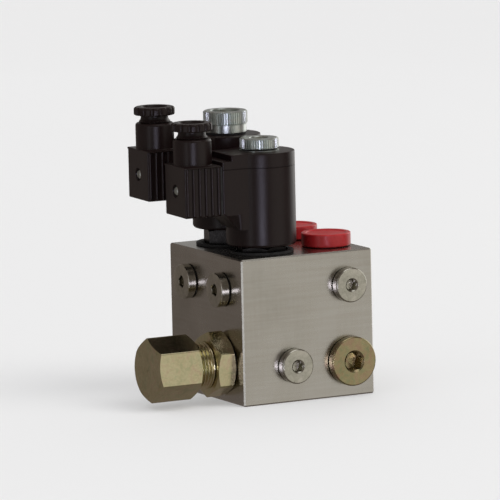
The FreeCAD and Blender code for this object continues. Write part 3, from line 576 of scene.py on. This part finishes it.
def recessed(thing, place, normal, radius, depth):
    """Cuts a round recess into a piece, given in the piece's own millimetres."""
    skin = rings_at(even_angles(64), (0.01, -depth), (radius, -depth), (radius, -0.35),
                    (radius + 0.5, 0.15), (radius + 0.5, 2.0), (0.01, 2.0))
    cutter = piece("cutter", [(skin, "caps")], thing.data.materials[0], place, facing(normal))
    cutter.modifiers.clear()
    cutter.matrix_world = thing.matrix_world @ cutter.matrix_world
    cut = thing.modifiers.new("recess", "BOOLEAN")
    cut.object = cutter
    cut.solver = "EXACT"
    thing.modifiers.move(1, 0)
    bpy.context.view_layer.update()
    mesh = bpy.data.meshes.new_from_object(thing.evaluated_get(bpy.context.evaluated_depsgraph_get()))
    thing.modifiers.remove(cut)
    bpy.data.objects.remove(cutter)
    mesh.shade_smooth()
    mesh.set_sharp_from_angle(angle=math.radians(28))
    thing.data = mesh
    return thing


def plug_shell(valve, place, turn):
    """Connector housing: ribbed box, top plate, round collar, screw recess in its outer face."""
    z0, z1 = PLUG["bottom"], PLUG["top"]
    half, plate, rib = PLUG["half"], PLUG["plate_half"], PLUG["rib"]
    levels = [(half, 0.0, 0.7, z0), (half, 0.0, 0.15, z0 + 0.18), (half, 0.0, 0.0, z0 + 0.6),
              (half, 0.7 * rib, 0.0, z0 + 0.8), (half, rib, 0.0, z0 + 1.3), (half, rib, 0.0, z1 - 1.0),
              (half, 0.0, 0.0, z1 - 0.95), (plate, 0.0, 0.0, z1 - 0.95), (plate, 0.0, 0.0, z1 - 0.3),
              (plate, 0.0, 0.1, z1 - 0.08), (plate, 0.0, 0.4, z1)]
    box = [plug_outline(*level) for level in levels]
    outward = yaw(turn) @ Vector((-STATIONS[valve]["reach"], 0, 0))
    shell = piece(valve + "_plug_shell", [(box, "caps")], MATERIALS["connector_plastic"],
                  place + outward, yaw(turn))
    mid = (z0 + z1) / 2
    recessed(shell, (-PLUG["face"], 0, mid), (-1, 0, 0), PLUG["recess"], 1.6)
    centre = -(PLUG["rear"] + PLUG["face"]) / 2
    top, r = z1 + PLUG["collar_h"], PLUG["collar"]
    profile = [(PLUG["bore"], z1 - 0.3), (r + 0.5, z1 - 0.3), (r + 0.5, z1 + 0.05), (r + 0.12, z1 + 0.25),
               (r, z1 + 0.7)]
    for k in range(7):
        a = math.pi / 2 * k / 6
        profile.append((r - COLLAR_ROUND * (1 - math.cos(a)), top - COLLAR_ROUND * (1 - math.sin(a))))
    profile += [(PLUG["bore"] + 0.3, top), (PLUG["bore"], top - 0.3)]
    collar = piece(valve + "_plug_collar", [lathe(even_angles(128), profile)],
                   MATERIALS["connector_plastic"], place + outward + yaw(turn) @ Vector((centre, 0, 0)),
                   yaw(turn), sharp=32)
    return shell, collar


def gland_shell(valve, place, turn):
    """Gland nut: flared foot, plain neck and a fluted brim round an open mouth."""
    seat = PLUG["top"] + PLUG["collar_h"] + 0.35
    under = seat - 0.35 + GLAND["neck"]
    top = under + GLAND["rim_h"]
    foot = PLUG["top"] + 7.7
    pitch = TAU / GLAND["flutes"]

    def brim(cut, depth=0.8):
        def radius(angle):
            t = ((angle / pitch + 0.5) % 1.0 - 0.5) * 2 / 0.46
            return GLAND["rim"] - cut - (depth * math.sqrt(1 - t * t) if abs(t) < 1 else 0.0)
        return radius
    angles = even_angles(GLAND["flutes"] * 22)
    r, m = GLAND["neck_r"], GLAND["mouth"]
    rings = rings_at(
        angles, (GLAND["cable"], foot), (r - 0.05, foot), (r - 0.05, seat), (GLAND["flare"] - 0.2, seat),
        (GLAND["flare"], seat + 0.25), (r + 0.35, seat + 1.2), (r, seat + 2.0), (r, under - 0.25),
        (r + 0.25, under), (brim(1.2), under), (brim(0.35), under + 0.2), (brim(0.0), under + 0.7),
        (brim(0.0), top - 1.3), (brim(0.15), top - 0.8), (brim(0.55, 0.6), top - 0.35),
        (brim(1.1, 0.35), top - 0.08), (brim(1.9, 0.0), top), (m + 0.4, top), (m, top - 0.35),
        (m - 0.5, top - 1.6), (GLAND["cable"], top - 2.5))
    centre = -(PLUG["rear"] + PLUG["face"]) / 2 - STATIONS[valve]["reach"]
    return piece(valve + "_gland_shell", [(rings, "loop")], MATERIALS["connector_plastic"],
                 place + yaw(turn) @ Vector((centre, 0, 0)), yaw(turn), sharp=30)


def knurled_nut(valve, place):
    """Coil nut: knurls with turned-down ends, an open mouth and, on the rear one, a plain skirt."""
    spec = STATIONS[valve]
    base = high(valve + "_coil_housing").z
    r, depth, pitch = spec["r"], 0.65, TAU / spec["knurls"]

    def tooth(angle):
        t = abs(((angle / pitch) % 1.0) - 0.5) * 2
        return r - depth * min(1.0, max(0.0, 2.2 * t - 1.0))
    angles = even_angles(spec["knurls"] * 10)
    low_z, top = spec["skirt"], spec["top"]
    edge, mouth, skirt = r - 0.75, spec["mouth"], spec["skirt_r"]
    rings = [ring(angles, COIL["bore"], spec["bottom"])]
    if low_z > spec["bottom"]:
        rings += rings_at(angles, (skirt - 0.3, spec["bottom"]), (skirt, spec["bottom"] + 0.3),
                          (skirt, low_z - 0.35), (skirt - 0.25, low_z - 0.2), (skirt - 0.25, low_z))
    rings += rings_at(
        angles, (edge, low_z), (tooth, lambda a: low_z + max(0.0, tooth(a) - edge) * 0.6),
        (tooth, lambda a: top - max(0.0, tooth(a) - edge) * 0.8), (edge, top), (mouth + 0.5, top),
        (mouth, top - 0.5), (mouth, spec["lip"]), (COIL["bore"], spec["lip"]))
    return piece(valve + "_knurled_nut", [(rings, "loop")], MATERIALS["bright_zinc"],
                 (place.x, place.y, base), sharp=24)


def build_valves():
    """Coil, connector, gland nut, coil nut and base ring of both valves."""
    for valve in STATIONS:
        place, turn = station_place(valve)
        made(coil_shell(valve, place, turn), valve + "_coil", "coil_plastic", valve + "_coil_housing")
        for thing in plug_shell(valve, place, turn):
            made(thing, valve + "_coil", "connector_plastic", valve + "_connector_housing")
        made(gland_shell(valve, place, turn), valve + "_gland_nut", "connector_plastic",
             valve + "_gland_nut")
        made(knurled_nut(valve, place), valve + "_coil_nut", "bright_zinc", valve + "_coil_nut")
        foot, disc = low(valve + "_base_ring"), high(valve + "_base_ring")
        r = (disc.x - foot.x) / 2
        profile = rounded([(14.3, foot.z), (r, foot.z), (r, disc.z), (14.3, disc.z)], 0.4)
        made(piece(valve + "_base_disc", [lathe(even_angles(128), profile)], MATERIALS["seal_rubber"],
                   (place.x, place.y, 0)), "manifold", "seal_rubber", valve + "_base_ring")


def build_springs():
    """Return springs, coiled between the ends of their CAD solids."""
    for valve in STATIONS:
        node = valve + "_return_spring"
        mid, foot, top = middle(node), low(node).z, high(node).z
        mean = high(node).x - mid.x - SPRING["half"]
        steps = SPRING["turns"] * 24
        rings = []
        for k in range(steps + 1):
            a = TAU * SPRING["turns"] * k / steps
            z = foot + SPRING["half"] + (top - foot - 2 * SPRING["half"]) * k / steps
            rings.append([((mean + SPRING["wire"] * math.cos(t)) * math.cos(a),
                           (mean + SPRING["wire"] * math.cos(t)) * math.sin(a),
                           z + SPRING["wire"] * math.sin(t)) for t in even_angles(10)])
        spring = piece(valve + "_spring_wire", [(rings, "caps")], MATERIALS["inner_steel"],
                       (mid.x, mid.y, 0))
        made(spring, "manifold", "inner_steel", node)
        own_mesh(spring)


# ------------------------------------------------------------------ supply fitting and port caps
FITTING = {"seal": 0.5, "hex": 32.0, "hex_end": 11.3, "turn": -5.5, "thread": 13.0, "pitch": 2.0,
           "end": 36.0, "bore": 6.0, "shank": 10.4, "shank_end": -14.0}
CAP_NUT = {"start": 20.5, "end": 46.4, "across": 31.0, "turn": 6.7, "wall": 5.0}


def hexagon_rings(angles, radius, apex, z0, z1):
    """Hexagon sides between two heights, with the corners turned down to the inscribed circle."""
    def drop(angle):
        return max(0.0, radius(angle) - apex) * 0.58

    def turned_end(angle):
        return min(apex, radius(angle))
    return rings_at(angles, (turned_end, z0), (radius, lambda a: z0 + drop(a)),
                    (radius, lambda a: z1 - drop(a)), (turned_end, z1))


def build_fitting():
    """Hexagon fitting with its open thread, and the hexagon cap nut over its end."""
    seat = middle("port_fitting")
    place, left = (block_low.x, seat.y, seat.z), facing((-1, 0, 0))
    spec = FITTING
    angles = corner_angles(6, spec["turn"], 22)
    flat = polygon_radius(spec["hex"], 6, spec["turn"], 0.25)
    shank, foot, thread, hex_end = spec["shank"], spec["shank_end"], spec["thread"], spec["hex_end"]
    rings = rings_at(angles, (spec["bore"], foot), (shank - 0.8, foot), (shank, foot + 0.8),
                     (shank, spec["seal"]))
    rings += hexagon_rings(angles, flat, spec["hex"] / 2 - 0.35, spec["seal"], hex_end)
    rings += rings_at(angles, (thread + 0.6, hex_end), (thread - 1.2, hex_end + 0.4))
    rings += thread_rings(angles, thread, 1.1, spec["pitch"], hex_end + 0.6, spec["end"] - 0.8)
    rings += rings_at(angles, (thread - 1.0, spec["end"]), (spec["bore"], spec["end"]))
    body = piece("fitting_body", [(rings, "loop")], MATERIALS["yellow_zinc"], place, left, sharp=22)
    made(body, "manifold", "yellow_zinc", "port_fitting")

    spec = CAP_NUT
    angles = corner_angles(6, spec["turn"], 22)
    flat = polygon_radius(spec["across"], 6, spec["turn"], 0.25)
    apex = spec["across"] / 2 - 0.3
    inside = FITTING["thread"] + 0.3
    rings = [ring(angles, inside + 0.9, spec["start"])]
    rings += hexagon_rings(angles, flat, apex, spec["start"], spec["end"])
    end, hollow = spec["end"], spec["end"] - spec["wall"]
    rings += rings_at(angles, (apex - 0.9, end), (apex - 1.3, end - 0.12), (1.6, end - 0.12),
                      (0.3, end - 0.5), (0.3, hollow), (inside, hollow), (inside, spec["start"] + 0.9))
    nut = piece("cap_nut_shell", [(rings, "loop")], MATERIALS["yellow_zinc"], place, left, sharp=22)
    made(nut, "fitting_cap", "yellow_zinc", "fitting_cap_nut")


CAP = {"r": 13.5, "h": 7.2, "sunk": 1.8, "stem": 10.3, "stem_wall": 1.6, "floor": 4.0}


def build_port_caps():
    """Two push-in caps: rounded rim, sunk centre with a gate mark, hollow stem."""
    for side in ("front", "rear"):
        node = side + "_port_cap"
        mid, top, foot = middle(node), high(node).z, low(node).z
        under, dish, r, stem = top - CAP["h"], top - CAP["sunk"], CAP["r"], CAP["stem"]
        inner, roof = stem - CAP["stem_wall"], top - CAP["floor"]
        outer = [(0.2, dish), (0.9, dish + 0.15), (1.5, dish)]
        outer += rounded([(9.9, dish), (11.2, top), (r, top), (r, under), (stem, under)], 0.8, 4)[5:-5]
        outer += [(stem, under), (stem, foot + 1.0), (stem - 0.9, foot), (inner, foot), (inner, roof),
                  (0.2, roof)]
        made(piece(side + "_cap_shell", [lathe(even_angles(128), outer)], MATERIALS["red_plastic"],
                   (mid.x, mid.y, 0), sharp=32), side + "_cap", "red_plastic", node)


# ------------------------------------------------------------------ stage
def material_plain(name, colour, glow):
    made_of = bpy.data.materials.new(name)
    made_of.use_nodes = True
    shader = made_of.node_tree.nodes["Principled BSDF"]
    shader.inputs["Base Color"].default_value = (*colour, 1.0)
    shader.inputs["Roughness"].default_value = 0.8
    shader.inputs["Emission Color"].default_value = (1.0, 1.0, 1.0, 1.0)
    shader.inputs["Emission Strength"].default_value = glow
    return made_of


def rectangle(mesh, half_w, half_h):
    """One flat face about the origin."""
    corners = [(-half_w, -half_h, 0), (half_w, -half_h, 0), (half_w, half_h, 0), (-half_w, half_h, 0)]
    mesh.from_pydata(corners, [], [(0, 1, 2, 3)])


def floor():
    """Plain pale floor, large enough to fill the picture."""
    mesh = bpy.data.meshes.new("floor")
    half = 12.0
    rectangle(mesh, half, half)
    mesh.materials.append(material_plain("floor_paint", (0.48, 0.48, 0.483), 0.34))
    plane = bpy.data.objects.new("floor", mesh)
    plane.location.z = -0.0001
    plane.visible_glossy = False
    bpy.context.scene.collection.objects.link(plane)


def direction(azimuth, elevation):
    """Unit vector; azimuth 0 is in front of the object (-Y), positive towards +X."""
    a, e = math.radians(azimuth), math.radians(elevation)
    return Vector((math.sin(a) * math.cos(e), -math.cos(a) * math.cos(e), math.sin(e)))


def card(name, azimuth, elevation, width, height, colour, strength, soft=0.25, distance=1.6):
    """Studio reflector seen only in reflections, bright in the middle and soft at its edges."""
    half_w = distance * math.tan(math.radians(width / 2))
    half_h = distance * math.tan(math.radians(height / 2))
    mesh = bpy.data.meshes.new(name)
    rectangle(mesh, half_w, half_h)
    made_of = bpy.data.materials.new(name)
    made_of.use_nodes = True
    tree = made_of.node_tree
    tree.nodes.clear()
    coords = tree.nodes.new("ShaderNodeTexCoord")
    split = tree.nodes.new("ShaderNodeSeparateXYZ")
    tree.links.new(coords.outputs["Object"], split.inputs[0])
    factors = []
    for axis, half in (("X", half_w), ("Y", half_h)):
        size = tree.nodes.new("ShaderNodeMath")
        size.operation = "ABSOLUTE"
        tree.links.new(split.outputs[axis], size.inputs[0])
        fall = tree.nodes.new("ShaderNodeMapRange")
        fall.interpolation_type = "SMOOTHSTEP"
        fall.inputs["From Min"].default_value = half
        fall.inputs["From Max"].default_value = half * (1 - 2 * soft)
        tree.links.new(size.outputs[0], fall.inputs["Value"])
        factors.append(fall.outputs["Result"])
    product = tree.nodes.new("ShaderNodeMath")
    product.operation = "MULTIPLY"
    tree.links.new(factors[0], product.inputs[0])
    tree.links.new(factors[1], product.inputs[1])
    glow = tree.nodes.new("ShaderNodeEmission")
    glow.inputs["Color"].default_value = (*colour, 1.0)
    glow.inputs["Strength"].default_value = strength
    clear = tree.nodes.new("ShaderNodeBsdfTransparent")
    mix = tree.nodes.new("ShaderNodeMixShader")
    tree.links.new(product.outputs[0], mix.inputs[0])
    tree.links.new(clear.outputs[0], mix.inputs[1])
    tree.links.new(glow.outputs[0], mix.inputs[2])
    out = tree.nodes.new("ShaderNodeOutputMaterial")
    tree.links.new(mix.outputs[0], out.inputs["Surface"])
    mesh.materials.append(made_of)
    plane = bpy.data.objects.new(name, mesh)
    towards = direction(azimuth, elevation)
    centre = Vector((0, 0, 0.07)) + towards * distance
    turn = towards.to_track_quat("Z", "Y").to_matrix().to_4x4()
    plane.matrix_world = Matrix.Translation(centre) @ turn
    plane.visible_camera = False
    plane.visible_diffuse = False
    plane.visible_shadow = False
    plane.visible_transmission = False
    bpy.context.scene.collection.objects.link(plane)


def sun(name, azimuth, elevation, strength, spread, colour):
    """Broad soft light that doesn't show in reflections."""
    light = bpy.data.lights.new(name, "SUN")
    light.energy = strength
    light.angle = math.radians(spread)
    light.color = colour
    lamp = bpy.data.objects.new(name, light)
    lamp.rotation_euler = direction(azimuth, elevation).to_track_quat("Z", "Y").to_euler()
    lamp.visible_glossy = False
    bpy.context.scene.collection.objects.link(lamp)


def world():
    """Pale to the camera, dim warm grey in reflections."""
    made_of = bpy.data.worlds.new("studio")
    bpy.context.scene.world = made_of
    made_of.use_nodes = True
    tree = made_of.node_tree
    tree.nodes.clear()
    path = tree.nodes.new("ShaderNodeLightPath")
    shades = {"glossy": ((0.17, 0.145, 0.13), 1.0), "open": ((0.80, 0.80, 0.81), 0.55),
              "camera": ((0.83, 0.83, 0.835), 1.0)}
    glows = {}
    for key, (colour, strength) in shades.items():
        glow = tree.nodes.new("ShaderNodeBackground")
        glow.inputs["Color"].default_value = (*colour, 1.0)
        glow.inputs["Strength"].default_value = strength
        glows[key] = glow.outputs[0]
    first = tree.nodes.new("ShaderNodeMixShader")
    tree.links.new(path.outputs["Is Glossy Ray"], first.inputs[0])
    tree.links.new(glows["open"], first.inputs[1])
    tree.links.new(glows["glossy"], first.inputs[2])
    second = tree.nodes.new("ShaderNodeMixShader")
    tree.links.new(path.outputs["Is Camera Ray"], second.inputs[0])
    tree.links.new(first.outputs[0], second.inputs[1])
    tree.links.new(glows["camera"], second.inputs[2])
    out = tree.nodes.new("ShaderNodeOutputWorld")
    tree.links.new(second.outputs[0], out.inputs["Surface"])


def studio():
    floor()
    world()
    sun("key", 35, 50, 1.45, 40, (1.0, 0.985, 0.96))
    sun("fill", -70, 55, 0.6, 60, (0.96, 0.98, 1.0))
    sun("rear", 170, 60, 0.5, 60, (1.0, 1.0, 1.0))
    card("front_box", 30, 0, 62, 70, (1.0, 0.955, 0.88), 0.62, 0.2)
    card("strip", -23, -8, 27, 24, (0.81, 0.79, 1.0), 8.6, 0.45)
    card("edge_box", -62, 0, 14, 70, (0.95, 0.96, 1.0), 1.5, 0.35)
    card("right_box", 112, 12, 60, 60, (1.0, 0.98, 0.95), 1.5, 0.3)
    card("rear_box", 160, 10, 30, 50, (1.0, 0.98, 0.96), 0.35, 0.3)
    card("top_box", 20, 68, 50, 40, (1.0, 0.99, 0.97), 1.1, 0.3)


def camera():
    """The photograph's viewpoint: a long lens from the front left, a little above."""
    azimuth, elevation, roll = math.radians(-27.6034), math.radians(8.1012), math.radians(-1.2893)
    distance, across, upward = 3.0852, -0.010975, 0.07682
    back = Vector((math.sin(azimuth) * math.cos(elevation), -math.cos(azimuth) * math.cos(elevation),
                   math.sin(elevation)))
    right = Vector((math.cos(azimuth), math.sin(azimuth), 0))
    up = back.cross(right)
    side = right * math.cos(roll) + up * math.sin(roll)
    top = up * math.cos(roll) - right * math.sin(roll)
    lens = bpy.data.cameras.new("camera")
    lens.lens = 404.6
    lens.sensor_width = 36.0
    lens.clip_start = 0.05
    lens.clip_end = 60.0
    view = bpy.data.objects.new("camera", lens)
    turn = Matrix((side, top, back)).transposed()
    view.matrix_world = Matrix.Translation(right * across + up * upward + back * distance) @ turn.to_4x4()
    bpy.context.scene.collection.objects.link(view)
    bpy.context.scene.camera = view


def paint_nodes():
    """Every CAD node that still shows gets its slot's material."""
    for entry in frame["record"]["subparts"]:
        thing = frame["nodes"][entry["node"]]
        thing.data.materials.clear()
        thing.data.materials.append(MATERIALS[entry["material_slot"]])


paint_nodes()
build_plugs()
build_valves()
build_springs()
build_fitting()
build_port_caps()
camera()
studio()
bpy.context.scene.view_settings.view_transform = "Standard"
